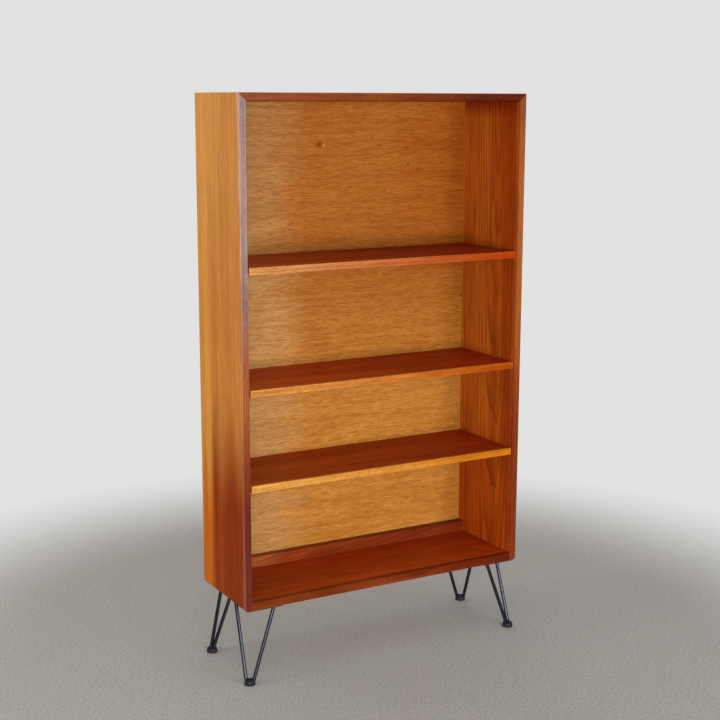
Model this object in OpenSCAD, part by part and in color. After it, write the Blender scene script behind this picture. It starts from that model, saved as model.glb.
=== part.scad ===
// Open bookcase with three adjustable shelves on four hairpin legs.
// Origin: on the floor, under the middle of the case. +Z is up and the open front faces -Y.

/* [Case] */
// Outside width of the case
case_w = 852; // [700:2:1000]
// Outside depth of the case, front to back
case_d = 268; // [260:2:320]
// Height of the case, without its legs
case_h = 1315; // [1250:5:1500]
// Thickness of the side and top boards
board_t = 22; // [20:0.5:24]
// Thickness of the bottom board
bottom_t = 24; // [22:0.5:26]
// Depth of the solid wood lipping on the front edges, front to back
lipping_d = 11; // [9:0.5:14]
// How far the bevel on a lipping's inner edge cuts across its front face
bevel_w = 3; // [1:0.5:5]
// How far that bevel runs back
bevel_d = 8; // [3:0.5:8]
// Radius of the rounding along the two lower outer corners of the case
corner_round = 7; // [2:0.5:10]

/* [Back] */
// Thickness of the plywood back panel
back_t = 5; // [4:0.5:6]
// Depth of the rebate for the back panel, front to back
rebate_d = 6; // [6:0.5:8]
// Width of that rebate, across a board's thickness
rebate_w = 8; // [6:0.5:10]
// Gap left round the back panel's edge
panel_gap = 0.5; // [0.2:0.1:1]
// Height of the rail along the back of the bottom board
rail_h = 30; // [25:1:50]
// Thickness of that rail, front to back
rail_t = 26; // [22:1:30]
// Radius of the rail's rounded front top edge
rail_round = 4; // [1:0.5:8]

/* [Shelves] */
// Thickness of a shelf
shelf_t = 18.5; // [16:0.5:22]
// How far a shelf's front edge stands behind the front of the case
shelf_setback = 1; // [0:0.5:10]
// Gap between a shelf's end and the side of the case
shelf_end_gap = 1.5; // [1:0.1:3]
// Gap between a shelf's back edge and the back panel
shelf_back_gap = 2; // [1:0.5:5]
// Depth of the solid wood lipping on a shelf's front edge
shelf_lipping_d = 8; // [5:0.5:12]
// Height of the lower shelf's top face above the underside of the case
lower_shelf_top = 332; // [300:1:360]
// Hole steps from the lower shelf up to the middle shelf
middle_shelf_steps = 8; // [6:1:10]
// Hole steps from the middle shelf up to the upper shelf
upper_shelf_steps = 10; // [6:1:10]

/* [Shelf pins] */
// Distance between neighbouring pin holes in a row
hole_pitch = 31; // [25:1:35]
// Spare holes above and below each shelf's own hole
spare_holes = 2; // [0:1:2]
// Diameter of a shelf pin
pin_d = 5; // [4:0.5:6]
// Length of a pin inside the side board
pin_in_side = 9; // [7:0.5:10]
// Length of a pin under the shelf
pin_in_shelf = 9; // [7:0.5:10]
// Distance from the front of the case to the front row of holes
front_row = 45; // [35:1:60]
// Distance from the back of the case to the back row of holes
back_row = 51; // [45:1:70]

/* [Legs] */
// Height of the case's underside above the floor
leg_h = 205; // [150:5:300]
// Diameter of a leg's steel rod
rod_d = 9.5; // [8:0.5:10]
// Radius of the bend at a leg's foot, to the middle of the rod
bend_r = 11.5; // [11:0.5:14]
// Distance between the two rod ends under the case
rod_spread = 104.6; // [90:0.2:110]
// Distance from each outer face of the case to the middle of the rod ends
top_inset = 50; // [48:1:54]
// Distance from the side of the case to the middle of a foot
foot_inset_x = 14.2; // [8:0.2:20]
// Distance from the front or back of the case to the middle of a foot
foot_inset_y = 10.6; // [8:0.2:20]
// Thickness of a leg's mounting plate
plate_t = 3; // [2.5:0.5:4]
// Distance from the side of the case to the plate
plate_inset_x = 6.5; // [5:0.5:8]
// Distance from the front or back of the case to the plate
plate_inset_y = 2.5; // [2:0.5:5]
// Length of the plate along its two long edges
plate_l = 102; // [100:1:106]
// Width of the plate's two blunt tips
plate_tip = 20; // [18:1:24]
// Diameter of a foot on the floor
foot_d = 30; // [28:1:36]
// Diameter of a foot's top
foot_top_d = 22; // [20:1:24]
// Height of a foot
foot_h = 13; // [11:0.5:14]
// Thickness of the foot under the rod
foot_sole = 2.5; // [2:0.5:4]

/* [Fixings] */
// Diameter of a wooden dowel
dowel_d = 8; // [6:1:8]
// Length of a wooden dowel
dowel_l = 35; // [30:1:40]
// Depth of a dowel in the side board
dowel_in_side = 12; // [10:0.5:13]
// Distance between the dowels of one joint
dowel_pitch = 82.5; // [75:0.5:84]
// Thickness of the spline in a mitred corner
spline_t = 4; // [3:0.5:5]
// Width of that spline, across the mitre
spline_w = 14; // [10:0.5:14]
// Diameter of a back panel nail
nail_d = 1.6; // [1.4:0.1:2]
// Length of a back panel nail
nail_l = 20; // [16:1:25]
// Nails in each side board
side_nails = 9; // [6:1:12]
// Nails in the top board, and in the bottom board
cross_nails = 6; // [4:1:8]
// Thread diameter of a wood screw
screw_d = 4; // [3.5:0.5:4.5]
// Head diameter of a wood screw
screw_head_d = 8; // [7:0.5:9]
// Screws that hold the back rail
rail_screws = 5; // [3:1:7]
// Length of a back rail screw
rail_screw_l = 20; // [16:1:24]
// Length of a leg screw under its head
leg_screw_l = 16; // [13:1:16]

/* [Hidden] */

$fn = 48;
cut = 1;                                  // how far a cutter reaches past the face it opens
hole_play = 0.05;                         // radial play of pins, screws and nails in their holes

teak = [0.62, 0.34, 0.16];
dark_teak = [0.48, 0.22, 0.11];
light_teak = [0.80, 0.47, 0.22];
plywood = [0.74, 0.50, 0.27];
beech = [0.85, 0.72, 0.52];
zinc = [0.78, 0.79, 0.80];
black_steel = [0.10, 0.10, 0.11];
black_plastic = [0.07, 0.07, 0.08];

// the case's faces
case_bottom = leg_h;
case_top = leg_h + case_h;
front_y = -case_d / 2;
back_y = case_d / 2;
half_w = case_w / 2;
inner_x = half_w - board_t;
bottom_top = case_bottom + bottom_t;
top_under = case_top - board_t;
board_front_y = front_y + lipping_d;
panel_front_y = back_y - rebate_d;
panel_back_y = panel_front_y + back_t;

// the shelves
shelf_x = inner_x - shelf_end_gap;
shelf_front_y = front_y + shelf_setback;
shelf_board_y = shelf_front_y + shelf_lipping_d;
shelf_back_y = panel_front_y - shelf_back_gap;
lower_top = case_bottom + lower_shelf_top;
middle_top = lower_top + middle_shelf_steps * hole_pitch;
upper_top = middle_top + upper_shelf_steps * hole_pitch;
shelf_tops = [lower_top, middle_top, upper_top];

// the shelf pins
pin_drop = shelf_t - pin_d / 2;           // from a shelf's top face down to its pins' axis
pin_l = pin_in_side + shelf_end_gap + pin_in_shelf;
pin_edge = 0.5;                           // chamfer round a pin's ends
row_ys = [front_y + front_row, back_y - back_row];
side_hole_l = pin_in_side + 1;
seat_play = 0.15;                         // gap over a pin in its seat under the shelf
seat_w = pin_d + 1.5;
seat_l = 22;

// the fixings
spline_front_y = board_front_y + 10;
spline_back_y = panel_front_y - 20;
spline_in = 0.6 * board_t;                // the spline's middle, from the case's outer corner
dowel_ys = [for (i = [-1 : 1]) i * dowel_pitch];
dowel_z = case_bottom + bottom_t / 2;
nail_head_d = 2 * nail_d;
nail_head_t = 0.8;
nail_inset = rebate_w / 2;
nail_margin = 60;                         // from the end of a board to its first nail
screw_head_t = 2.4;
leg_head_t = 2.6;
rail_screw_margin = 90;

// the legs, measured inward from a corner of the case
seat_z = foot_sole + rod_d / 2;           // height of the rod's axis at the foot
plate_under = leg_h - plate_t;
lean = [top_inset - foot_inset_x, top_inset - foot_inset_y, plate_under - seat_z];
lean_turn = atan2(lean.y, lean.x);
lean_tilt = acos(lean.z / norm(lean));
half_spread = rod_spread / 2;
// the straight rods leave the bend on a tangent, so their half angle follows from the bend
bend_z = bend_r;
rod_reach = sqrt(half_spread ^ 2 + (norm(lean) - bend_z) ^ 2);
half_angle = atan2(half_spread, norm(lean) - bend_z) - asin(bend_r / rod_reach);
tangent_l = sqrt(rod_reach ^ 2 - bend_r ^ 2);
rod_over = 12;                            // extra rod that the plate's underside cuts off
bend_d = rod_d - 0.1;                     // bending draws the rod a little thinner
bend_lap = 2.4;                           // degrees of the bend inside each straight length
// a leg's screws, inward from the side and from the front or back of the case
leg_screw_at = [[32, 32], [60, 60], [92, 28], [26, 92]];

// evenly spread values from -span/2 to span/2
function spread(count, span) = [for (i = [0 : count - 1]) span * (i / (count - 1) - 0.5)];

side_nail_zs = [for (z = spread(side_nails, case_h - 2 * nail_margin)) case_bottom + case_h / 2 + z];
cross_nail_xs = spread(cross_nails, 2 * inner_x - 2 * nail_margin);
rail_screw_xs = spread(rail_screws, 2 * inner_x - 2 * rail_screw_margin);
nail_points = concat(
    [for (side = [-1, 1], z = side_nail_zs) [side * (inner_x + nail_inset), z]],
    [for (x = cross_nail_xs) [x, top_under + nail_inset]],
    [for (x = cross_nail_xs) [x, bottom_top - nail_inset]]
);

// a box between two corners
module block(low, high) {
    translate(low)
        cube(high - low);
}

// extrudes a front view outline, drawn in X and Z, from one depth to another
module front_outline(y_low, y_high) {
    translate([0, y_high, 0])
        rotate([90, 0, 0])
            linear_extrude(y_high - y_low)
                children();
}

// extrudes an end view outline, drawn in Y and Z, along X
module end_outline(x_low, x_high) {
    translate([x_low, 0, 0])
        rotate([90, 0, 90])
            linear_extrude(x_high - x_low)
                children();
}

// turns what is drawn for the left side or corner into the one asked for
module place(side_x, side_y = -1) {
    mirror([side_x > 0 ? 1 : 0, 0, 0])
        mirror([0, side_y > 0 ? 1 : 0, 0])
            children();
}

// ---- case ----

// front view of the left side, mitred at its top end
module side_outline() {
    polygon([
        [-half_w, case_bottom],
        [-inner_x, case_bottom],
        [-inner_x, top_under],
        [-half_w, case_top]
    ]);
}

// what is rounded off along the case's lower left corner
module corner_waste() {
    difference() {
        block(
            [-half_w - cut, front_y - cut, case_bottom - cut],
            [-half_w + corner_round, back_y + cut, case_bottom + corner_round]
        );
        translate([-half_w + corner_round, back_y + 2 * cut, case_bottom + corner_round])
            rotate([90, 0, 0])
                cylinder(r = corner_round, h = case_d + 4 * cut);
    }
}

// front view of the top, mitred at both ends
module top_outline() {
    polygon([
        [-half_w, case_top],
        [-inner_x, top_under],
        [inner_x, top_under],
        [half_w, case_top]
    ]);
}

// the room that the back panel needs, cut into all four boards
module back_rebate() {
    block(
        [-inner_x - rebate_w, panel_front_y, bottom_top - rebate_w],
        [inner_x + rebate_w, back_y + cut, top_under + rebate_w]
    );
}

// the spline across the top left mitre, or its slot
module spline_solid(play) {
    translate([-half_w + spline_in, spline_front_y - play, case_top - spline_in])
        rotate([0, -45, 0])
            translate([-spline_w / 2 - play, 0, -spline_t / 2 - play])
                cube([
                    spline_w + 2 * play,
                    spline_back_y - spline_front_y + 2 * play,
                    spline_t + 2 * play
                ]);
}

// the dowels of the bottom left joint, or their holes
module dowel_solids(play) {
    for (y = dowel_ys)
        translate([-inner_x - dowel_in_side - play, y, dowel_z])
            rotate([0, 90, 0])
                cylinder(d = dowel_d + 2 * play, h = dowel_l + 2 * play);
}

// pilot holes for the back panel's nails
module nail_holes() {
    for (p = nail_points)
        translate([p.x, panel_back_y + cut, p.y])
            rotate([90, 0, 0])
                cylinder(d = nail_d + 2 * hole_play, h = nail_l + cut + 0.5, $fn = 24);
}

// the holes for shelf pins in the left side
module pin_holes() {
    for (shelf_top = shelf_tops, step = [-spare_holes : spare_holes], y = row_ys)
        translate([-inner_x + cut, y, shelf_top - pin_drop + step * hole_pitch])
            rotate([0, -90, 0])
                cylinder(d = pin_d + 2 * hole_play, h = side_hole_l + cut);
}

module side_panel(side) {
    color(teak)
        difference() {
            place(side)
                difference() {
                    front_outline(board_front_y, back_y)
                        side_outline();
                    corner_waste();
                    pin_holes();
                    spline_solid(hole_play);
                    dowel_solids(hole_play);
                }
            back_rebate();
            nail_holes();
        }
}

module top_panel() {
    color(teak)
        difference() {
            front_outline(board_front_y, back_y)
                top_outline();
            for (side = [-1, 1])
                place(side)
                    spline_solid(hole_play);
            back_rebate();
            nail_holes();
        }
}

module bottom_panel() {
    color(teak)
        difference() {
            block([-inner_x, board_front_y, case_bottom], [inner_x, back_y, bottom_top]);
            for (side = [-1, 1])
                place(side)
                    dowel_solids(hole_play);
            back_rebate();
            nail_holes();
            for (side = [-1, 1], side_y = [-1, 1])
                leg_screw_holes(side, side_y);
        }
}

// plan view of the left lipping, with its inner edge bevelled
module side_lipping_plan() {
    polygon([
        [-half_w, front_y],
        [-inner_x - bevel_w, front_y],
        [-inner_x, front_y + bevel_d],
        [-inner_x, board_front_y],
        [-half_w, board_front_y]
    ]);
}

// end view of the top or bottom lipping, with its inner edge bevelled
module cross_lipping_profile(outer_z, inner_z) {
    inward = sign(inner_z - outer_z);
    polygon([
        [front_y, outer_z],
        [front_y, inner_z - inward * bevel_w],
        [front_y + bevel_d, inner_z],
        [board_front_y, inner_z],
        [board_front_y, outer_z]
    ]);
}

module side_lipping(side) {
    color(dark_teak)
        place(side)
            difference() {
                intersection() {
                    translate([0, 0, case_bottom])
                        linear_extrude(case_h)
                            side_lipping_plan();
                    front_outline(front_y, board_front_y)
                        side_outline();
                }
                corner_waste();
            }
}

module top_front_lipping() {
    color(dark_teak)
        intersection() {
            end_outline(-half_w, half_w)
                cross_lipping_profile(case_top, top_under);
            front_outline(front_y, board_front_y)
                top_outline();
        }
}

// the bottom lipping's ends are coped over the bevels of the side lippings
module bottom_front_lipping() {
    color(dark_teak)
        difference() {
            end_outline(-half_w + cut, half_w - cut)
                cross_lipping_profile(case_bottom, bottom_top);
            for (side = [-1, 1])
                place(side)
                    translate([0, 0, case_bottom - cut])
                        linear_extrude(bottom_t + 2 * cut)
                            side_lipping_plan();
        }
}

// ---- back ----

module back_panel() {
    color(plywood)
        difference() {
            block(
                [
                    -inner_x - rebate_w + panel_gap,
                    panel_front_y,
                    bottom_top - rebate_w + panel_gap
                ],
                [
                    inner_x + rebate_w - panel_gap,
                    panel_back_y,
                    top_under + rebate_w - panel_gap
                ]
            );
            nail_holes();
            rail_screw_solids(hole_play);
        }
}

module back_rail() {
    rail_front = panel_front_y - rail_t;
    rail_top = bottom_top + rail_h;
    arc_steps = 8;
    color(dark_teak)
        difference() {
            end_outline(-inner_x, inner_x)
                polygon(concat(
                    [[rail_front, bottom_top]],
                    [for (i = [0 : arc_steps])
                        let (a = 90 * i / arc_steps)
                        [
                            rail_front + rail_round * (1 - cos(a)),
                            rail_top - rail_round * (1 - sin(a))
                        ]
                    ],
                    [[panel_front_y, rail_top], [panel_front_y, bottom_top]]
                ));
            rail_screw_solids(hole_play);
        }
}

// countersunk screws from behind, through the back panel into the rail, or their holes
module rail_screw_solids(play) {
    for (x = rail_screw_xs)
        translate([x, panel_back_y, bottom_top + rail_h / 2])
            rotate([90, 0, 0])
                union() {
                    cylinder(d = screw_d + 2 * play, h = rail_screw_l + play, $fn = 32);
                    cylinder(d1 = screw_head_d + 2 * play, d2 = screw_d, h = screw_head_t, $fn = 32);
                }
}

module back_rail_screws() {
    color(zinc)
        rail_screw_solids(0);
}

module back_panel_nails() {
    color(zinc)
        for (p = nail_points)
            translate([p.x, panel_back_y, p.y])
                rotate([90, 0, 0])
                    union() {
                        cylinder(d = nail_d, h = nail_l, $fn = 24);
                        translate([0, 0, -nail_head_t])
                            cylinder(d = nail_head_d, h = nail_head_t, $fn = 24);
                    }
}

module corner_spline(side) {
    color(beech)
        place(side)
            spline_solid(0);
}

module corner_dowels(side) {
    color(beech)
        place(side)
            dowel_solids(0);
}

// ---- shelves ----

// the routed seat for one pin in the underside of a shelf's left end
module pin_seat(shelf_top, y) {
    roof = shelf_top - pin_drop + pin_d / 2 + seat_play;
    floor_z = shelf_top - shelf_t - cut;
    round_x = -shelf_x + seat_l - seat_w / 2;
    block([-shelf_x - cut, y - seat_w / 2, floor_z], [round_x, y + seat_w / 2, roof]);
    translate([round_x, y, floor_z])
        cylinder(d = seat_w, h = roof - floor_z);
}

module shelf_board(shelf_top) {
    color(teak)
        difference() {
            block(
                [-shelf_x, shelf_board_y, shelf_top - shelf_t],
                [shelf_x, shelf_back_y, shelf_top]
            );
            for (side = [-1, 1], y = row_ys)
                place(side)
                    pin_seat(shelf_top, y);
        }
}

module shelf_lipping(shelf_top) {
    color(light_teak)
        block(
            [-shelf_x, shelf_front_y, shelf_top - shelf_t],
            [shelf_x, shelf_board_y, shelf_top]
        );
}

// a turned pin, half in the side board and half in the shelf's seat
module shelf_pin(shelf_top, side, side_y) {
    y = side_y < 0 ? row_ys[0] : row_ys[1];
    pin_r = pin_d / 2;
    color(zinc)
        translate([side * (inner_x + pin_in_side), y, shelf_top - pin_drop])
            rotate([0, -side * 90, 0])
                rotate_extrude()
                    polygon([
                        [0, 0],
                        [pin_r - pin_edge, 0],
                        [pin_r, pin_edge],
                        [pin_r, pin_l - pin_edge],
                        [pin_r - pin_edge, pin_l],
                        [0, pin_l]
                    ]);
}

// ---- legs, drawn for the front left corner ----

// the leg's own frame: origin on the rod's axis at the foot, +Z up the leaning leg, Y across it
module leg_frame() {
    translate([-half_w + foot_inset_x, front_y + foot_inset_y, seat_z])
        rotate([0, lean_tilt, lean_turn])
            children();
}

// one hairpin of rod: two straight lengths and the bend that joins them
module hairpin(play) {
    leg_frame() {
        for (way = [-1, 1])
            translate([0, way * bend_r * cos(half_angle), bend_z - bend_r * sin(half_angle)])
                rotate([-way * half_angle, 0, 0])
                    cylinder(d = rod_d + 2 * play, h = tangent_l + rod_over);
        translate([0, 0, bend_z])
            rotate([0, 90, 0])
                rotate([0, 0, -90 + half_angle - bend_lap])
                    rotate_extrude(angle = 180 - 2 * half_angle + 2 * bend_lap)
                        translate([bend_r, 0])
                            circle(d = bend_d + 2 * play);
    }
}

module leg_rod(side, side_y) {
    color(black_steel)
        place(side, side_y)
            difference() {
                hairpin(0);
                block([-half_w - 50, front_y - 50, plate_under], [0, 0, leg_h + 50]);
            }
}

module leg_plate(side, side_y) {
    end_x = plate_inset_x + plate_l;
    end_y = plate_inset_y + plate_l;
    color(black_steel)
        place(side, side_y)
            difference() {
                translate([-half_w, front_y, plate_under])
                    linear_extrude(plate_t)
                        polygon([
                            [plate_inset_x, plate_inset_y],
                            [end_x, plate_inset_y],
                            [end_x, plate_inset_y + plate_tip],
                            [plate_inset_x + plate_tip, end_y],
                            [plate_inset_x, end_y]
                        ]);
                at_leg_screws()
                    translate([0, 0, -cut])
                        cylinder(d = screw_d + 4 * hole_play, h = plate_t + 2 * cut, $fn = 32);
            }
}

// the places of a leg's screws, on the underside of its plate
module at_leg_screws() {
    for (p = leg_screw_at)
        translate([-half_w + p.x, front_y + p.y, plate_under])
            children();
}

module leg_screws(side, side_y) {
    color(zinc)
        place(side, side_y)
            at_leg_screws() {
                cylinder(d = screw_d, h = leg_screw_l, $fn = 32);
                translate([0, 0, -leg_head_t])
                    cylinder(d1 = 0.7 * screw_head_d, d2 = screw_head_d, h = leg_head_t, $fn = 32);
            }
}

module leg_screw_holes(side, side_y) {
    place(side, side_y)
        at_leg_screws()
            cylinder(d = screw_d + 2 * hole_play, h = leg_screw_l + 0.5, $fn = 32);
}

// a domed foot moulded round the bend of the rod
module foot(side, side_y) {
    base_r = foot_d / 2;
    top_r = foot_top_d / 2;
    wall_h = 2.5;                         // height of the straight wall under the dome
    dome_steps = 8;
    color(black_plastic)
        place(side, side_y)
            difference() {
                translate([-half_w + foot_inset_x, front_y + foot_inset_y, 0])
                    rotate_extrude()
                        polygon(concat(
                            [[0, 0], [base_r - 1, 0], [base_r, 1]],
                            [for (i = [0 : dome_steps])
                                let (a = 90 * i / dome_steps)
                                [
                                    top_r + (base_r - top_r) * cos(a),
                                    wall_h + (foot_h - wall_h) * sin(a)
                                ]
                            ],
                            [[0, foot_h]]
                        ));
                hairpin(hole_play);
            }
}

side_panel(-1);  // left_side_panel
side_panel(1);  // right_side_panel
top_panel();
bottom_panel();
side_lipping(-1);  // left_front_lipping
side_lipping(1);  // right_front_lipping
top_front_lipping();
bottom_front_lipping();
back_panel();
back_rail();
corner_spline(-1);  // top_left_spline
corner_spline(1);  // top_right_spline
corner_dowels(-1);  // bottom_left_dowels
corner_dowels(1);  // bottom_right_dowels
back_panel_nails();
back_rail_screws();
shelf_board(upper_top);  // upper_shelf_board
shelf_lipping(upper_top);  // upper_shelf_lipping
shelf_board(middle_top);  // middle_shelf_board
shelf_lipping(middle_top);  // middle_shelf_lipping
shelf_board(lower_top);  // lower_shelf_board
shelf_lipping(lower_top);  // lower_shelf_lipping
shelf_pin(upper_top, -1, -1);  // upper_front_left_pin
shelf_pin(upper_top, 1, -1);  // upper_front_right_pin
shelf_pin(upper_top, -1, 1);  // upper_back_left_pin
shelf_pin(upper_top, 1, 1);  // upper_back_right_pin
shelf_pin(middle_top, -1, -1);  // middle_front_left_pin
shelf_pin(middle_top, 1, -1);  // middle_front_right_pin
shelf_pin(middle_top, -1, 1);  // middle_back_left_pin
shelf_pin(middle_top, 1, 1);  // middle_back_right_pin
shelf_pin(lower_top, -1, -1);  // lower_front_left_pin
shelf_pin(lower_top, 1, -1);  // lower_front_right_pin
shelf_pin(lower_top, -1, 1);  // lower_back_left_pin
shelf_pin(lower_top, 1, 1);  // lower_back_right_pin
leg_rod(-1, -1);  // front_left_leg_rod
leg_rod(1, -1);  // front_right_leg_rod
leg_rod(-1, 1);  // back_left_leg_rod
leg_rod(1, 1);  // back_right_leg_rod
leg_plate(-1, -1);  // front_left_leg_plate
leg_plate(1, -1);  // front_right_leg_plate
leg_plate(-1, 1);  // back_left_leg_plate
leg_plate(1, 1);  // back_right_leg_plate
leg_screws(-1, -1);  // front_left_leg_screws
leg_screws(1, -1);  // front_right_leg_screws
leg_screws(-1, 1);  // back_left_leg_screws
leg_screws(1, 1);  // back_right_leg_screws
foot(-1, -1);  // front_left_foot
foot(1, -1);  // front_right_foot
foot(-1, 1);  // back_left_foot
foot(1, 1);  // back_right_foot
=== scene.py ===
"""Looks of the open teak bookcase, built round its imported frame. Metres; Z is up and the front faces -Y."""
import math

import bmesh
import bpy
from mathutils import Matrix, Vector


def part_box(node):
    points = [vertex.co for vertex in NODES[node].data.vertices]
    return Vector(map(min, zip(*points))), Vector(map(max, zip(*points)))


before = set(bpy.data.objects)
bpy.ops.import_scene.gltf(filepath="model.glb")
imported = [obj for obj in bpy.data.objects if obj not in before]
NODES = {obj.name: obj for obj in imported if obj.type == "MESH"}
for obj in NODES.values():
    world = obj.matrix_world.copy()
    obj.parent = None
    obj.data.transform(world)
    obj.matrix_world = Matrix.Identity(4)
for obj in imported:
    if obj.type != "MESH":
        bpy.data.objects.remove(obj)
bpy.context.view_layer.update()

MM = 0.001
BLACK, WHITE = (0.0, 0.0, 0.0), (1.0, 1.0, 1.0)

# directions on the object
UP, DOWN = (0.0, 0.0, 1.0), (0.0, 0.0, -1.0)
LEFT, RIGHT, FRONT = (-1.0, 0.0, 0.0), (1.0, 0.0, 0.0), (0.0, -1.0, 0.0)


# ---- shader helpers ----

def new_material(name):
    """An empty node material: its tree and its Principled shader."""
    material = bpy.data.materials.new(name)
    material.use_nodes = True
    tree = material.node_tree
    tree.nodes.clear()
    shader = tree.nodes.new("ShaderNodeBsdfPrincipled")
    output = tree.nodes.new("ShaderNodeOutputMaterial")
    tree.links.new(shader.outputs["BSDF"], output.inputs["Surface"])
    return material, tree, shader


def plug(tree, socket, value):
    """Links a socket or sets a plain value."""
    if isinstance(value, bpy.types.NodeSocket):
        tree.links.new(value, socket)
    else:
        socket.default_value = value


def add(tree, kind, inputs=None, **settings):
    """A new node, with its settings and its inputs."""
    node = tree.nodes.new(kind)
    for key, value in settings.items():
        setattr(node, key, value)
    for key, value in (inputs or {}).items():
        plug(tree, node.inputs[key], value)
    return node


def calc(tree, operation, *values):
    """One Math node's result."""
    node = add(tree, "ShaderNodeMath", operation=operation)
    for socket, value in zip(node.inputs, values):
        plug(tree, socket, value)
    return node.outputs[0]


def plus(tree, first, second):
    return calc(tree, "ADD", first, second)


def minus(tree, first, second):
    return calc(tree, "SUBTRACT", first, second)


def times(tree, first, second):
    return calc(tree, "MULTIPLY", first, second)


def over(tree, first, second):
    return calc(tree, "DIVIDE", first, second)


def square(tree, value):
    return calc(tree, "POWER", value, 2.0)


def mean(tree, first, second):
    return times(tree, plus(tree, first, second), 0.5)


def length(tree, first, second):
    """The length of a vector with these two parts."""
    return calc(tree, "SQRT", plus(tree, square(tree, first), square(tree, second)))


def vector_calc(tree, operation, *values):
    """One Vector Math node's results."""
    return add(tree, "ShaderNodeVectorMath", dict(enumerate(values)), operation=operation).outputs


def step(tree, value, low, high, bottom=0.0, top=1.0):
    """A soft step of value from bottom at low to top at high."""
    node = add(tree, "ShaderNodeMapRange", interpolation_type="SMOOTHSTEP")
    levels = {"Value": value, "From Min": low, "From Max": high, "To Min": bottom, "To Max": top}
    for key, number in levels.items():
        plug(tree, node.inputs[key], number)
    return node.outputs[0]


def rgba(colour):
    return (*colour, 1.0)


def blend(tree, factor, first, second, kind="MIX"):
    """Two colours mixed by factor."""
    node = add(tree, "ShaderNodeMix", data_type="RGBA", blend_type=kind, clamp_factor=True)
    for key, value in ((0, factor), (6, first), (7, second)):
        plug(tree, node.inputs[key], rgba(value) if isinstance(value, tuple) else value)
    return node.outputs[2]


def tinted(tree, colour, share):
    """A colour with only this share of its red, green and blue."""
    return blend(tree, 1.0, colour, share, "MULTIPLY")


def layer(tree, colour, mask, weight, other):
    """Lays another colour over one, by weight where the mask is 1."""
    return blend(tree, times(tree, mask, weight), colour, other)


def stretched(tree, place, scale, detail=2.0, roughness=0.5, distortion=0.0):
    """Noise over place, from 0 to 1. scale is in cycles a metre on each axis, or one number for all three."""
    scale = scale if isinstance(scale, tuple) else (scale,) * 3
    mapped = vector_calc(tree, "MULTIPLY", place, scale)[0]
    inputs = {"Vector": mapped, "Scale": 1.0}
    inputs.update({"Detail": detail, "Roughness": roughness, "Distortion": distortion})
    return add(tree, "ShaderNodeTexNoise", inputs, noise_dimensions="3D").outputs["Fac"]


def pattern(tree, place, scale, low, high, bottom=0.0, top=1.0, **noise):
    """Noise that rises softly from bottom to top between its levels low and high."""
    return step(tree, stretched(tree, place, scale, **noise), low, high, bottom, top)


def swing(tree, value, reach):
    """A value from 0 to 1 turned into a distance of up to half of reach either way."""
    return times(tree, minus(tree, value, 0.5), reach)


def object_place(tree):
    return add(tree, "ShaderNodeTexCoord").outputs["Object"]


def parts_of(tree, vector):
    return add(tree, "ShaderNodeSeparateXYZ", {"Vector": vector}).outputs[:3]


def joined(tree, x, y, z):
    return add(tree, "ShaderNodeCombineXYZ", {"X": x, "Y": y, "Z": z}).outputs[0]


def drifted(tree, place, tone, drifts, waver):
    """Lets a tone change slowly over a board. A drift is its new tone and one or more ramps, each a direction
    and where along it the change starts and ends; where there are several, the change needs them all.
    waver makes the borders of the change uneven."""
    colour = tone
    for other, *ramps in drifts:
        amount = 1.0
        for direction, start, end in ramps:
            run = vector_calc(tree, "DOT_PRODUCT", place, direction)["Value"]
            amount = times(tree, step(tree, plus(tree, run, waver), start, end), amount)
        colour = blend(tree, amount, colour, other)
    return colour


def edge_mask(tree, place, node, reach):
    """1 on the sharp edges of a board's own box, falling to 0 at reach from them."""
    low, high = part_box(node)
    centre, half = (low + high) / 2, (high - low) / 2
    from_centre = vector_calc(tree, "ABSOLUTE", vector_calc(tree, "SUBTRACT", place, tuple(centre))[0])[0]
    x, y, z = parts_of(tree, vector_calc(tree, "SUBTRACT", tuple(half), from_centre)[0])
    # on an edge two of the three distances to the faces are 0, so the middle one tells how far away it is
    least_xy, most_xy = calc(tree, "MINIMUM", x, y), calc(tree, "MAXIMUM", x, y)
    middle = calc(tree, "MINIMUM", calc(tree, "MAXIMUM", least_xy, z), most_xy)
    return step(tree, middle, 0.0, reach, 1.0, 0.0)


def bump(tree, shader, height, distance, strength=1.0):
    node = add(tree, "ShaderNodeBump", {"Height": height, "Distance": distance, "Strength": strength})
    tree.links.new(node.outputs[0], shader.inputs["Normal"])


def finish_surface(tree, shader, colour, rough):
    tree.links.new(colour, shader.inputs["Base Color"])
    tree.links.new(rough, shader.inputs["Roughness"])


def set_gloss(shader, specular, tint):
    shader.inputs["Specular IOR Level"].default_value = specular
    shader.inputs["Specular Tint"].default_value = rgba(tint)


# ---- teak ----
# in every wood pattern the scale is along, across and through the grain

# which of X, Y, Z runs along the grain, across it on the show face, and through that face
GRAIN_ORDER = {"side": "ZYX", "level": "XYZ", "upright": "XZY", "stile": "ZXY"}

# a board's seed shifts its grain by this much along and across
SEED_SHIFT_ALONG, SEED_SHIFT_ACROSS = 7.3, 1.7

# the pith wanders, the rings are unevenly spaced, and their dark late wood is thin and fades in places
PITH_WANDER = 26 * MM
PITH_WANDER_NOISE = dict(scale=(1.6, 5.0, 5.0))
RING_UNEVEN = 1.6
RING_UNEVEN_NOISE = dict(scale=(0.7, 30.0, 30.0), detail=3.0)
LATE_WOOD_POWER = 3.0
RING_STRENGTH = dict(scale=(0.9, 22.0, 22.0), low=0.3, high=0.7, bottom=0.25, top=1.0, detail=1.0)

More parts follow.
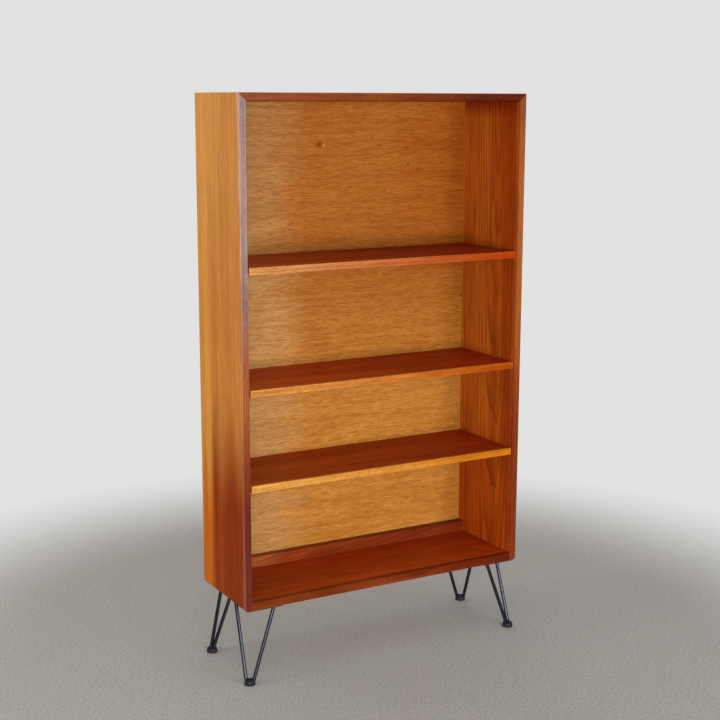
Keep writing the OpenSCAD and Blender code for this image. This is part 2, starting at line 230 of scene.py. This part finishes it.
# broad bands, fine streaks, pores drawn out along the grain, and soft figure
TEAK_BAND = dict(scale=(0.55, 16.0, 16.0), low=0.34, high=0.66, roughness=0.55)
TEAK_FIBRE = dict(scale=(2.6, 250.0, 250.0), low=0.38, high=0.64, roughness=0.6)
TEAK_HAIR = dict(scale=(13.0, 640.0, 640.0), low=0.40, high=0.66, roughness=0.6)
TEAK_PORE = dict(scale=(55.0, 1500.0, 1500.0), low=0.60, high=0.72, detail=1.0)
TEAK_FIGURE = dict(scale=(9.0, 38.0, 38.0), low=0.35, high=0.7, distortion=0.6)
TEAK_SPOT = dict(scale=(110.0, 330.0, 330.0), low=0.50, high=0.60, roughness=0.6)

DRIFT_WAVER = 0.06
# red, green and blue rise or fall by this much of a board's spread in its pale and deep bands
PALER_BY, DEEPER_BY = (1.0, 1.5, 2.0), (1.0, 1.4, 1.6)
# what lines and streaks leave of the tone, and how strong hairs and pores are
TEAK_DARK = (0.42, 0.30, 0.26)
HAIR_TO_STREAK = 0.6
TEAK_PORE_WEIGHT = 0.5
PORE_BLACK = 0.6

# edges are rubbed pale in places
RUB_REACH = 2.2 * MM
RUB_NOISE = dict(scale=60.0, detail=3.0)
RUBBED, RUBBED_SHARE = (0.9, 0.6, 0.35), 0.15

# the lacquer's roughness varies a little round the board's own gloss
SMEAR_NOISE = dict(scale=(5.0, 18.0, 18.0), detail=3.0)
FIBRE_ROUGH, SMEAR_ROUGH, MEAN_ROUGH = 0.07, 0.12, 0.08
WOOD_FIBRE_DEPTH, WOOD_BUMP, WOOD_BUMP_STRENGTH = -0.3, 0.12 * MM, 0.6


def teak_grain(tree, centred, order, seed, skew):
    """A board's own axes along, across and through the grain, and the place in its grain."""
    axis = dict(zip("XYZ", parts_of(tree, centred)))
    along, across, through = (axis[letter] for letter in GRAIN_ORDER[order])
    if skew:
        along, across = (
            plus(tree, along, times(tree, across, skew)),
            minus(tree, across, times(tree, along, skew)),
        )
    shifted = plus(tree, along, seed * SEED_SHIFT_ALONG), plus(tree, across, seed * SEED_SHIFT_ACROSS)
    return (along, across, through), joined(tree, *shifted, through)


def late_wood(tree, axes, grain, pith, cone, spacing):
    """The dark line of each year ring, from the distance to a tilted, slightly wandering pith."""
    along, across, through = axes
    wander = swing(tree, stretched(tree, grain, **PITH_WANDER_NOISE), PITH_WANDER)
    ring_x = plus(tree, minus(tree, across, pith[0]), wander)
    ring_y = plus(tree, minus(tree, through, pith[1]), times(tree, along, cone))
    uneven = times(tree, stretched(tree, grain, **RING_UNEVEN_NOISE), RING_UNEVEN)
    phase = plus(tree, over(tree, length(tree, ring_x, ring_y), spacing), uneven)
    late = calc(tree, "POWER", calc(tree, "FRACT", phase), LATE_WOOD_POWER)
    return times(tree, late, pattern(tree, grain, **RING_STRENGTH))


def teak(name, node, order, tone, seed, pith=(0.45, 0.02), cone=0.01, spacing=9 * MM, lines=0.45,
         streak=0.35, spread=0.22, fleck=0.0, skew=0.0, drifts=(), faces=(), gloss=0.38, specular=0.3,
         tint=(1.0, 0.72, 0.5), wear=0.25):
    """Oiled and lacquered teak around one tone. pith is where the tree's centre lies from the board's middle,
    across and through; cone makes the year rings run out along the board, which gives the arched figure.
    drifts are slow changes of the board's tone, see drifted(), some of them painted light and shade; faces are
    the same, evenly bordered."""
    material, tree, shader = new_material(name)
    place = object_place(tree)
    low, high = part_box(node)
    centred = vector_calc(tree, "SUBTRACT", place, tuple((low + high) / 2))[0]
    axes, grain = teak_grain(tree, centred, order, seed, skew)
    late = late_wood(tree, axes, grain, pith, cone, spacing)
    band, fibre, hair, pore, figure = (
        pattern(tree, grain, **look) for look in (TEAK_BAND, TEAK_FIBRE, TEAK_HAIR, TEAK_PORE, TEAK_FIGURE)
    )

    colour = drifted(tree, place, tone, drifts, swing(tree, band, DRIFT_WAVER))
    colour = drifted(tree, place, colour, faces, 0.0)
    paler = tinted(tree, colour, tuple(1.0 + by * spread for by in PALER_BY))
    deeper = tinted(tree, colour, tuple(1.0 - by * spread for by in DEEPER_BY))
    dark = tinted(tree, colour, TEAK_DARK)
    colour = blend(tree, mean(tree, band, figure), paler, deeper)
    for mask, weight in ((late, lines), (fibre, streak), (hair, HAIR_TO_STREAK * streak)):
        colour = layer(tree, colour, mask, weight, dark)
    colour = layer(tree, colour, pore, TEAK_PORE_WEIGHT, blend(tree, PORE_BLACK, dark, BLACK))
    if fleck:
        colour = layer(tree, colour, pattern(tree, grain, **TEAK_SPOT), fleck, dark)
    rubbed = times(tree, edge_mask(tree, place, node, RUB_REACH), stretched(tree, place, **RUB_NOISE))
    colour = layer(tree, colour, rubbed, wear, blend(tree, RUBBED_SHARE, paler, RUBBED))

    smear = stretched(tree, grain, **SMEAR_NOISE)
    rough = plus(tree, times(tree, fibre, FIBRE_ROUGH), times(tree, smear, SMEAR_ROUGH))
    finish_surface(tree, shader, colour, plus(tree, rough, gloss - MEAN_ROUGH))
    set_gloss(shader, specular, tint)
    height = minus(tree, times(tree, fibre, WOOD_FIBRE_DEPTH), pore)
    bump(tree, shader, height, WOOD_BUMP, WOOD_BUMP_STRENGTH)
    return material


# ---- plywood ----

# the face veneer's waves, clouds and bands, short dashes and flashes, longer lines, fine fibres and pores
PLY_WAVE = 30 * MM
PLY_WAVE_NOISE = dict(scale=(3.0, 7.0, 7.0), detail=3.0)
PLY_CLOUD = dict(scale=(3.2, 12.0, 12.0), low=0.30, high=0.72, detail=3.0, roughness=0.6)
PLY_BAND = dict(scale=(1.6, 46.0, 46.0), low=0.36, high=0.66, detail=3.0, roughness=0.6)
PLY_DASH = dict(scale=(30.0, 330.0, 330.0), low=0.46, high=0.64, roughness=0.6)
PLY_FLASH = dict(scale=(20.0, 260.0, 260.0), low=0.54, high=0.66, roughness=0.6, distortion=0.3)
PLY_LINE = dict(scale=(7.0, 360.0, 360.0), low=0.60, high=0.66)
PLY_FINE = dict(scale=(48.0, 640.0, 640.0), low=0.44, high=0.64, roughness=0.6)
PLY_PORE = dict(scale=(90.0, 1300.0, 1300.0), low=0.60, high=0.72, detail=1.0)

PLY_WAVER = 0.1
PLY_PALER, PLY_DEEPER, PLY_DARK = (1.12, 1.2, 1.35), (0.84, 0.74, 0.62), (0.5, 0.34, 0.22)
FLASH_WEIGHT, DASH_WEIGHT, LINE_WEIGHT, FINE_WEIGHT, PLY_PORE_WEIGHT = 0.75, 0.46, 0.55, 0.40, 0.4
PLY_ROUGH, PLY_DASH_ROUGH = 0.42, 0.1
PLY_SPECULAR, PLY_TINT = 0.12, (1.0, 0.8, 0.6)
PLY_FINE_DEPTH = -0.4

# how long a knot's surroundings are, how far they bend, and how the knot itself fades out, in radii
KNOT_STRETCH, KNOT_PULL = 3.5, 0.9
KNOT_WIDTH = 1.25
KNOT_RAGGED, KNOT_RAGGED_NOISE = 0.8, dict(scale=(90.0, 160.0, 90.0))
KNOT_FADE = dict(low=0.6, high=1.7, bottom=0.85, top=0.0)


def bent_round(tree, x, z, knots):
    """Height in the veneer, with the fibres bent round each knot."""
    bent = z
    for knot_x, knot_z, radius, _tone in knots:
        dx, dz = minus(tree, x, knot_x), minus(tree, z, knot_z)
        near = plus(tree, square(tree, over(tree, dx, KNOT_STRETCH)), square(tree, dz))
        pull = over(tree, radius * radius * KNOT_PULL, plus(tree, near, radius * radius))
        bent = minus(tree, bent, times(tree, dz, pull))
    return bent


def plywood(name, tone, knots=(), drifts=()):
    """Rotary cut face veneer with short streaks along X. Each knot is (x, z, radius, colour)."""
    material, tree, shader = new_material(name)
    place = object_place(tree)
    x, y, z = parts_of(tree, place)
    bent = bent_round(tree, x, z, knots)
    wave = swing(tree, stretched(tree, joined(tree, x, bent, y), **PLY_WAVE_NOISE), PLY_WAVE)
    grain = joined(tree, x, plus(tree, bent, wave), y)
    cloud, band, dash, flash, line, fine, pore = (
        pattern(tree, grain, **look)
        for look in (PLY_CLOUD, PLY_BAND, PLY_DASH, PLY_FLASH, PLY_LINE, PLY_FINE, PLY_PORE)
    )

    colour = drifted(tree, place, tone, drifts, swing(tree, cloud, PLY_WAVER))
    paler, deeper, dark = (tinted(tree, colour, share) for share in (PLY_PALER, PLY_DEEPER, PLY_DARK))
    colour = blend(tree, mean(tree, cloud, band), paler, deeper)
    colour = layer(tree, colour, flash, FLASH_WEIGHT, paler)
    for mask, weight in ((dash, DASH_WEIGHT), (line, LINE_WEIGHT), (fine, FINE_WEIGHT)):
        colour = layer(tree, colour, mask, weight, dark)
    colour = layer(tree, colour, pore, PLY_PORE_WEIGHT, blend(tree, PORE_BLACK, dark, BLACK))
    for knot_x, knot_z, radius, knot_tone in knots:
        dx = over(tree, minus(tree, x, knot_x), radius * KNOT_WIDTH)
        dz = over(tree, minus(tree, z, knot_z), radius)
        ragged = times(tree, stretched(tree, grain, **KNOT_RAGGED_NOISE), KNOT_RAGGED)
        away = plus(tree, length(tree, dx, dz), ragged)
        colour = blend(tree, step(tree, away, **KNOT_FADE), colour, knot_tone)

    finish_surface(tree, shader, colour, plus(tree, times(tree, dash, PLY_DASH_ROUGH), PLY_ROUGH))
    set_gloss(shader, PLY_SPECULAR, PLY_TINT)
    height = minus(tree, times(tree, fine, PLY_FINE_DEPTH), pore)
    bump(tree, shader, height, WOOD_BUMP, WOOD_BUMP_STRENGTH)
    return material


# ---- beech ----

BEECH_FLECK = dict(scale=(80.0, 420.0, 420.0), low=0.5, high=0.62)
BEECH_CLOUD_NOISE = dict(scale=(12.0, 60.0, 60.0))
BEECH_PALE, BEECH_DEEP, BEECH_FLECK_TONE = (0.72, 0.50, 0.30), (0.60, 0.38, 0.20), (0.36, 0.19, 0.09)
BEECH_FLECK_WEIGHT = 0.5
BEECH_ROUGH, BEECH_FLECK_ROUGH = 0.5, 0.1
BEECH_BUMP = 0.05 * MM


def beech():
    material, tree, shader = new_material("beech_dowel")
    place = object_place(tree)
    fleck = pattern(tree, place, **BEECH_FLECK)
    colour = blend(tree, stretched(tree, place, **BEECH_CLOUD_NOISE), BEECH_PALE, BEECH_DEEP)
    colour = layer(tree, colour, fleck, BEECH_FLECK_WEIGHT, BEECH_FLECK_TONE)
    finish_surface(tree, shader, colour, plus(tree, times(tree, fleck, BEECH_FLECK_ROUGH), BEECH_ROUGH))
    bump(tree, shader, fleck, BEECH_BUMP)
    return material


# ---- metal and plastic ----

PAINT_PATCH_NOISE = dict(scale=28.0, detail=3.0)
PAINT_DUST = dict(scale=900.0, low=0.66, high=0.74, detail=1.0)
PAINT_WORN = 1.6
DUST_TONE, DUST_WEIGHT = (0.25, 0.24, 0.23), 0.12
PAINT_PATCH_ROUGH = 0.12
PAINT_SPECULAR, PAINT_EDGE_DARK = 0.2, 0.9
PEEL_BUMP, PEEL_STRENGTH = 0.05 * MM, 0.5


def black_paint(name, base, gloss, grain, metallic=0.0):
    """Baked black paint or moulded plastic: a slight orange peel, dust in the hollows and dulled patches."""
    material, tree, shader = new_material(name)
    place = object_place(tree)
    patch = stretched(tree, place, **PAINT_PATCH_NOISE)
    colour = blend(tree, patch, base, tuple(part * PAINT_WORN for part in base))
    colour = layer(tree, colour, pattern(tree, place, **PAINT_DUST), DUST_WEIGHT, DUST_TONE)
    finish_surface(tree, shader, colour, plus(tree, times(tree, patch, PAINT_PATCH_ROUGH), gloss))
    shader.inputs["Metallic"].default_value = metallic
    set_gloss(shader, PAINT_SPECULAR, (1.0 - PAINT_EDGE_DARK * metallic,) * 3)
    bump(tree, shader, stretched(tree, place, grain), PEEL_BUMP, PEEL_STRENGTH)
    return material


ZINC_MARK_NOISE = dict(scale=(3000.0, 300.0, 3000.0))
ZINC_DULL_NOISE = dict(scale=160.0, detail=3.0)
ZINC_BRIGHT, ZINC_DULL = (0.72, 0.73, 0.74), (0.52, 0.52, 0.50)
ZINC_ROUGH, ZINC_DULL_ROUGH = 0.18, 0.25
ZINC_BUMP, ZINC_BUMP_STRENGTH = 0.02 * MM, 0.4


def zinc(name):
    """Bright zinc plating with turning marks and a little dulling."""
    material, tree, shader = new_material(name)
    place = object_place(tree)
    dull = stretched(tree, place, **ZINC_DULL_NOISE)
    colour = blend(tree, dull, ZINC_BRIGHT, ZINC_DULL)
    finish_surface(tree, shader, colour, plus(tree, times(tree, dull, ZINC_DULL_ROUGH), ZINC_ROUGH))
    shader.inputs["Metallic"].default_value = 1.0
    bump(tree, shader, stretched(tree, place, **ZINC_MARK_NOISE), ZINC_BUMP, ZINC_BUMP_STRENGTH)
    return material


# ---- carried-over CAD nodes ----

WELD_REACH = 0.002 * MM
EDGE_ANGLE = math.radians(30)
SHADE_WEIGHT = 80


def dress(node, material, arris=0.0, segments=2):
    """Gives a CAD node its material and, where arris is set, eases its sharp edges."""
    thing = NODES[node]
    thing.data.materials.clear()
    thing.data.materials.append(material)
    weld = thing.modifiers.new("weld", "WELD")
    weld.merge_threshold = WELD_REACH
    if arris:
        ease = thing.modifiers.new("ease", "BEVEL")
        ease.width = arris
        ease.segments = segments
        ease.limit_method = "ANGLE"
        ease.angle_limit = EDGE_ANGLE
        ease.harden_normals = False
        ease.use_clamp_overlap = True
    shade = thing.modifiers.new("shade", "WEIGHTED_NORMAL")
    shade.keep_sharp = False
    shade.weight = SHADE_WEIGHT


# how far the edges of each kind of piece are eased
VENEER_ARRIS, LIPPING_ARRIS = 0.15 * MM, 0.2 * MM
SHELF_BOARD_ARRIS, SHELF_LIPPING_ARRIS = 0.3 * MM, 0.5 * MM
BACK_ARRIS, SPLINE_ARRIS, DOWEL_ARRIS = 0.3 * MM, 0.2 * MM, 0.4 * MM
PLATE_ARRIS, FOOT_ARRIS, SCREW_ARRIS, PIN_ARRIS = 0.4 * MM, 0.5 * MM, 0.15 * MM, 0.1 * MM
FOOT_ARRIS_SEGMENTS = 3

# ---- the case's boards ----
# all tones are linear reflectance; ramps are in metres

# ramps that pick out the right board's inside face, and the lippings' outer faces
INSIDE_RIGHT = (LEFT, -0.4065, -0.4045)
OUTSIDE_LEFT, OUTSIDE_RIGHT = (LEFT, 0.4252, 0.4259), (RIGHT, 0.4252, 0.4259)

case_teak = {
    "left_side_panel": dict(
        order="side", tone=(0.530, 0.224, 0.0390), seed=1.0, pith=(0.7, 0.05), lines=0.12, streak=0.27,
        spread=0.08, specular=0.04,
        # darker and redder towards the front and the bottom: partly the veneer's own tone, partly painted
        # shade
        drifts=[
            ((0.450, 0.166, 0.0300), (FRONT, -0.11, -0.02), (DOWN, -1.36, -1.00)),
            ((0.455, 0.168, 0.0310), (FRONT, -0.01, 0.10)),
            ((0.500, 0.125, 0.0040), (DOWN, -0.62, -0.38)),
            ((0.205, 0.0250, 0.0012), (DOWN, -0.78, -0.44), (FRONT, -0.14, -0.01)),
        ],
    ),
    "right_side_panel": dict(
        order="side", tone=(0.50, 0.116, 0.0110), seed=2.3, pith=(-0.045, 0.05), cone=0.06,
        spacing=11 * MM, lines=0.95, streak=0.45, specular=0.12,
        drifts=[
            ((0.42, 0.068, 0.0056), (DOWN, -0.62, -0.48)),
            ((0.40, 0.066, 0.0058), (FRONT, -0.02, 0.11)),
        ],
        # painted shadow: the inside face darkens in its top 5 cm, under the top panel
        faces=[((0.27, 0.030, 0.0040), (UP, 1.445, 1.498), INSIDE_RIGHT)],
    ),
    "top_panel": dict(order="level", tone=(0.34, 0.080, 0.010), seed=3.1),
    "bottom_panel": dict(order="level", tone=(0.42, 0.0490, 0.0042), seed=4.4, lines=0.45, specular=0.06),
}
for node, look in case_teak.items():
    dress(node, teak(node + "_veneer", node, **look), VENEER_ARRIS)

# ---- the case's lippings and the rail ----

STILE_GLOSS = dict(gloss=0.20, specular=0.6, tint=WHITE, wear=0.6)

# out of the bevel on the right lipping's inner edge, and how far along that direction the bevel lies; a
# painted highlight goes on it
BEVEL = (-0.93633, -0.35112, 0.0)
ON_BEVEL = (BEVEL, -0.3345, -0.3341)
# the narrow flat behind that bevel
BEHIND_BEVEL = (LEFT, -0.4047, -0.4041)

lipping_teak = {
    "left_front_lipping": dict(
        order="stile", tone=(0.096, 0.0060, 0.0004), seed=5.2, spacing=6 * MM, **STILE_GLOSS,
        drifts=[
            ((0.235, 0.0480, 0.0034), (UP, 0.42, 0.75)),
            ((0.110, 0.0190, 0.0022), (UP, 0.88, 1.02)),
            ((0.155, 0.0300, 0.0030), (UP, 1.14, 1.26)),
            ((0.105, 0.0130, 0.0012), (UP, 1.34, 1.46)),
        ],
        # the outer face takes the left side's tones, with the same painted shade low down
        faces=[
            ((0.450, 0.168, 0.0300), OUTSIDE_LEFT),
            ((0.205, 0.0250, 0.0012), OUTSIDE_LEFT, (DOWN, -0.78, -0.44)),
        ],
    ),
    "right_front_lipping": dict(
        order="stile", tone=(0.165, 0.0230, 0.0014), seed=6.1, spacing=6 * MM, gloss=0.3, specular=0.6,
        fleck=0.3,
        drifts=[
            ((0.260, 0.0700, 0.0085), (UP, 0.55, 1.0)),
            ((0.195, 0.0440, 0.0050), (UP, 1.25, 1.5)),
        ],
        faces=[
            ((0.400, 0.0900, 0.0070), OUTSIDE_RIGHT),
            # painted highlight: the bevel on the inner edge is paler, where it catches light, and less so
            # lower down
            ((0.320, 0.0560, 0.0040), ON_BEVEL),
            ((0.270, 0.0360, 0.0020), ON_BEVEL, (DOWN, -0.85, -0.55)),
            ((0.400, 0.0660, 0.0058), BEHIND_BEVEL),
        ],
    ),
    "top_front_lipping": dict(
        order="upright", tone=(0.190, 0.0340, 0.0014), seed=7.7, spacing=7 * MM, gloss=0.24, specular=0.2,
        lines=0.7, spread=0.3, fleck=0.3,
        drifts=[((0.084, 0.0064, 0.0001), (RIGHT, -0.1, 0.38))],
        faces=[((0.34, 0.080, 0.010), (UP, 1.5192, 1.5199))],
    ),
    "bottom_front_lipping": dict(
        order="upright", tone=(0.172, 0.0320, 0.0056), seed=8.5, spacing=8 * MM, specular=0.12,
        lines=0.6, spread=0.30, fleck=0.3,
        drifts=[((0.128, 0.0150, 0.0019), (RIGHT, -0.1, 0.38))],
    ),
    "back_rail": dict(
        order="upright", tone=(0.180, 0.0250, 0.0048), seed=9.3, skew=0.16, spacing=14 * MM, specular=0.12,
        lines=0.6, spread=0.40,
        drifts=[((0.250, 0.058, 0.0130), (LEFT, 0.15, 0.24))],
    ),
}
for node, look in lipping_teak.items():
    dress(node, teak(node + "_wood", node, **look), LIPPING_ARRIS)

# ---- the shelves ----

# each shelf's tones from its left end to its right end, on its board and on its lipping
shelf_tones = {
    "upper": dict(
        board=((0.485, 0.0620, 0.0065), (0.315, 0.0285, 0.0070)),
        lipping=((0.468, 0.205, 0.0620), (0.362, 0.0430, 0.0002)),
    ),
    "middle": dict(
        board=((0.570, 0.0780, 0.0050), (0.395, 0.0350, 0.0050)),
        lipping=((0.505, 0.218, 0.0430), (0.378, 0.0740, 0.0008)),
    ),
    "lower": dict(
        board=((0.515, 0.0810, 0.0052), (0.415, 0.0480, 0.0060)),
        lipping=((0.595, 0.292, 0.0560), (0.462, 0.1460, 0.0048)),
    ),
}
BOARD_RAMP, LIPPING_RAMP = (RIGHT, -0.40, 0.20), (RIGHT, -0.42, 0.42)
FIRST_BOARD_SEED, FIRST_LIPPING_SEED = 11.0, 15.0
SHELF_BOARD_LOOK = dict(order="level", lines=0.35, streak=0.35, specular=0.03)
SHELF_LIPPING_LOOK = dict(order="upright", spacing=5 * MM, specular=0.08, streak=0.45, fleck=0.4)

for number, (shelf, tones) in enumerate(shelf_tones.items()):
    board, lipping = shelf + "_shelf_board", shelf + "_shelf_lipping"
    tone, right_tone = tones["board"]
    veneer = teak(board + "_veneer", board, tone=tone, seed=FIRST_BOARD_SEED + number,
                  drifts=[(right_tone, BOARD_RAMP)], **SHELF_BOARD_LOOK)
    dress(board, veneer, SHELF_BOARD_ARRIS)
    tone, right_tone = tones["lipping"]
    wood = teak(lipping + "_wood", lipping, tone=tone, seed=FIRST_LIPPING_SEED + number,
                drifts=[(right_tone, LIPPING_RAMP)], **SHELF_LIPPING_LOOK)
    dress(lipping, wood, SHELF_LIPPING_ARRIS)

# ---- the back, the splines and the dowels ----

BACK_TONE, SPLINE_TONE = (0.292, 0.093, 0.0112), (0.55, 0.33, 0.14)
BACK_KNOTS = [
    (-0.0692, 1.3837, 10 * MM, (0.11, 0.026, 0.003)),
    (-0.0545, 1.3815, 4 * MM, (0.40, 0.20, 0.045)),
    (0.2136, 1.3256, 4 * MM, (0.04, 0.010, 0.003)),
    (0.3999, 0.9409, 4 * MM, (0.04, 0.010, 0.003)),
]
# painted light and shade: paler low down and to the left, where more light reaches, darker at the upper right,
# in the shade of the top and the right side
BACK_PAINTED_LIGHT = [
    ((0.412, 0.169, 0.0270), (DOWN, -1.15, -0.60)),
    ((0.285, 0.077, 0.0066), (RIGHT, 0.0, 0.45), (UP, 0.80, 1.30)),
    ((0.365, 0.186, 0.0580), (LEFT, 0.06, 0.32)),
    ((0.445, 0.236, 0.0760), (LEFT, 0.10, 0.30), (DOWN, -1.25, -1.00)),
]
dress("back_panel", plywood("back_plywood", BACK_TONE, BACK_KNOTS, BACK_PAINTED_LIGHT), BACK_ARRIS)
spline_wood = plywood("spline_plywood", SPLINE_TONE)
dowel_wood = beech()
for side in ("left", "right"):
    dress(f"top_{side}_spline", spline_wood, SPLINE_ARRIS)
    dress(f"bottom_{side}_dowels", dowel_wood, DOWEL_ARRIS)

# ---- the legs, pins, nails and screws ----

rod_paint = black_paint("leg_rod_paint", (0.052, 0.058, 0.074), gloss=0.13, grain=500.0, metallic=1.0)
plate_paint = black_paint("leg_plate_paint", (0.0040, 0.0045, 0.0055), gloss=0.36, grain=500.0)
foot_plastic = black_paint("foot_plastic", (0.009, 0.010, 0.014), gloss=0.28, grain=1100.0)
plated = zinc("zinc_plating")
for corner in (f"{y}_{x}" for y in ("front", "back") for x in ("left", "right")):
    dress(corner + "_leg_rod", rod_paint)
    dress(corner + "_leg_plate", plate_paint, PLATE_ARRIS)
    dress(corner + "_foot", foot_plastic, FOOT_ARRIS, FOOT_ARRIS_SEGMENTS)
    dress(corner + "_leg_screws", plated, SCREW_ARRIS)
    for shelf in shelf_tones:
        dress(f"{shelf}_{corner}_pin", plated, PIN_ARRIS)
for node in ("back_panel_nails", "back_rail_screws"):
    dress(node, plated, PIN_ARRIS)

# ---- camera ----

SENSOR_WIDTH, LENS = 36.0, 67.97
EYE_PLACE = (-1.8069, -3.1644, 1.5030)
YAW, PITCH, ROLL = (math.radians(angle) for angle in (29.5515, 10.8405, 0.1296))

eye = bpy.data.cameras.new("camera")
eye.sensor_width = SENSOR_WIDTH
eye.lens = LENS
camera = bpy.data.objects.new("camera", eye)
bpy.context.scene.collection.objects.link(camera)
bpy.context.scene.camera = camera
camera.matrix_world = (
    Matrix.Translation(EYE_PLACE)
    @ Matrix.Rotation(-YAW, 4, "Z")
    @ Matrix.Rotation(math.pi / 2 - PITCH, 4, "X")
    @ Matrix.Rotation(ROLL, 4, "Z")
)

# ---- floor ----

FLOOR_RADIUS, FLOOR_SEGMENTS = 6.0, 96
FLOOR_CLOUD_NOISE = dict(scale=5.0, detail=4.0, roughness=0.6)
FLOOR_SPECK = dict(scale=150.0, low=0.38, high=0.62, detail=3.0, roughness=0.8)
FLOOR_DEEP, FLOOR_PALE, FLOOR_SPECK_TONE = (0.40, 0.380, 0.350), (0.44, 0.421, 0.391), (0.29, 0.276, 0.256)
FLOOR_SPECK_WEIGHT = 0.9
FLOOR_ROUGH = 0.75
FADE_START, FADE_END = 0.95, 1.9


def make_floor():
    """A pale round floor that fades into the backdrop."""
    shape = bmesh.new()
    bmesh.ops.create_circle(shape, cap_ends=True, radius=FLOOR_RADIUS, segments=FLOOR_SEGMENTS)
    mesh = bpy.data.meshes.new("floor")
    shape.to_mesh(mesh)
    shape.free()
    floor = bpy.data.objects.new("floor", mesh)
    bpy.context.scene.collection.objects.link(floor)
    material, tree, shader = new_material("floor_paint")
    place = object_place(tree)
    colour = blend(tree, stretched(tree, place, **FLOOR_CLOUD_NOISE), FLOOR_DEEP, FLOOR_PALE)
    speck = pattern(tree, place, **FLOOR_SPECK)
    colour = layer(tree, colour, speck, FLOOR_SPECK_WEIGHT, FLOOR_SPECK_TONE)
    tree.links.new(colour, shader.inputs["Base Color"])
    shader.inputs["Roughness"].default_value = FLOOR_ROUGH
    away = vector_calc(tree, "LENGTH", place)["Value"]
    clear = add(tree, "ShaderNodeBsdfTransparent").outputs[0]
    fade = add(tree, "ShaderNodeMixShader", {0: step(tree, away, FADE_START, FADE_END)})
    tree.links.new(shader.outputs[0], fade.inputs[1])
    tree.links.new(clear, fade.inputs[2])
    output = next(node for node in tree.nodes if node.type == "OUTPUT_MATERIAL")
    tree.links.new(fade.outputs[0], output.inputs["Surface"])
    mesh.materials.append(material)


make_floor()

# ---- light ----

def make_world(seen, glow, mirrored):
    """A pale backdrop: the colour the camera sees, the dimmer light it gives, and what shows in gloss."""
    world = bpy.data.worlds.new("room")
    bpy.context.scene.world = world
    world.use_nodes = True
    tree = world.node_tree
    tree.nodes.clear()
    ray = add(tree, "ShaderNodeLightPath").outputs
    colour = blend(tree, ray["Is Camera Ray"], blend(tree, ray["Is Glossy Ray"], glow, mirrored), seen)
    back = add(tree, "ShaderNodeBackground", {"Color": colour})
    output = add(tree, "ShaderNodeOutputWorld")
    tree.links.new(back.outputs[0], output.inputs["Surface"])


def area_light(name, place, target, size, watts, colour, gloss=True):
    """A soft lamp; gloss says whether it shows in glossy surfaces."""
    lamp = bpy.data.lights.new(name, "AREA")
    lamp.shape = "RECTANGLE"
    lamp.size, lamp.size_y = size
    lamp.energy = watts
    lamp.color = colour
    thing = bpy.data.objects.new(name, lamp)
    bpy.context.scene.collection.objects.link(thing)
    thing.location = place
    thing.rotation_euler = (Vector(target) - Vector(place)).to_track_quat("-Z", "Y").to_euler()
    thing.visible_camera = False
    thing.visible_glossy = gloss


make_world(seen=(0.76, 0.76, 0.755), glow=(0.51, 0.51, 0.51), mirrored=(0.16, 0.16, 0.17))

# each of the two front lamps is split, and only its second half, 0.1 m nearer, shows in the lacquer
DOOR = dict(target=(0.0, 0.0, 0.9), size=(1.2, 1.5))
ROOM = dict(target=(0.0, 0.0, 0.8), size=(4.0, 1.5), colour=(1.0, 0.97, 0.93))
area_light("door_right", (1.4, -5.0, 0.95), watts=55.0, colour=(0.86, 0.92, 1.0), gloss=False, **DOOR)
area_light("door_sheen", (1.4, -4.9, 0.95), watts=48.0, colour=(0.92, 0.94, 0.96), **DOOR)
area_light("room_front", (-2.6, -5.5, 0.9), watts=290.0, gloss=False, **ROOM)
area_light("room_sheen", (-2.6, -5.4, 0.9), watts=100.0, **ROOM)
area_light("room_right", (2.6, -4.6, 2.1), target=(0.0, 0.0, 0.7), size=(2.4, 0.8), watts=16.0,
           colour=(1.0, 0.97, 0.93))
area_light("wall_left", (-2.4, 3.8, 2.0), target=(-0.4, 0.0, 1.0), size=(4.0, 2.4), watts=21.0,
           colour=WHITE)
area_light("room_left", (-4.5, 0.4, 1.2), target=(0.0, 0.0, 0.9), size=(0.7, 0.9), watts=67.0,
           colour=(1.0, 0.98, 0.95), gloss=False)
area_light("room_back", (1.6, 4.2, 1.5), target=(0.0, 0.0, 0.8), size=(3.0, 2.0), watts=55.0,
           colour=(1.0, 0.99, 0.97), gloss=False)
area_light("ceiling", (0.0, -1.5, 4.0), target=(0.0, 0.0, 0.0), size=(4.0, 4.0), watts=19.0, colour=WHITE)

view = bpy.context.scene.view_settings
view.view_transform = "Standard"
view.look = "None"
view.exposure = 0.0
view.gamma = 1.0
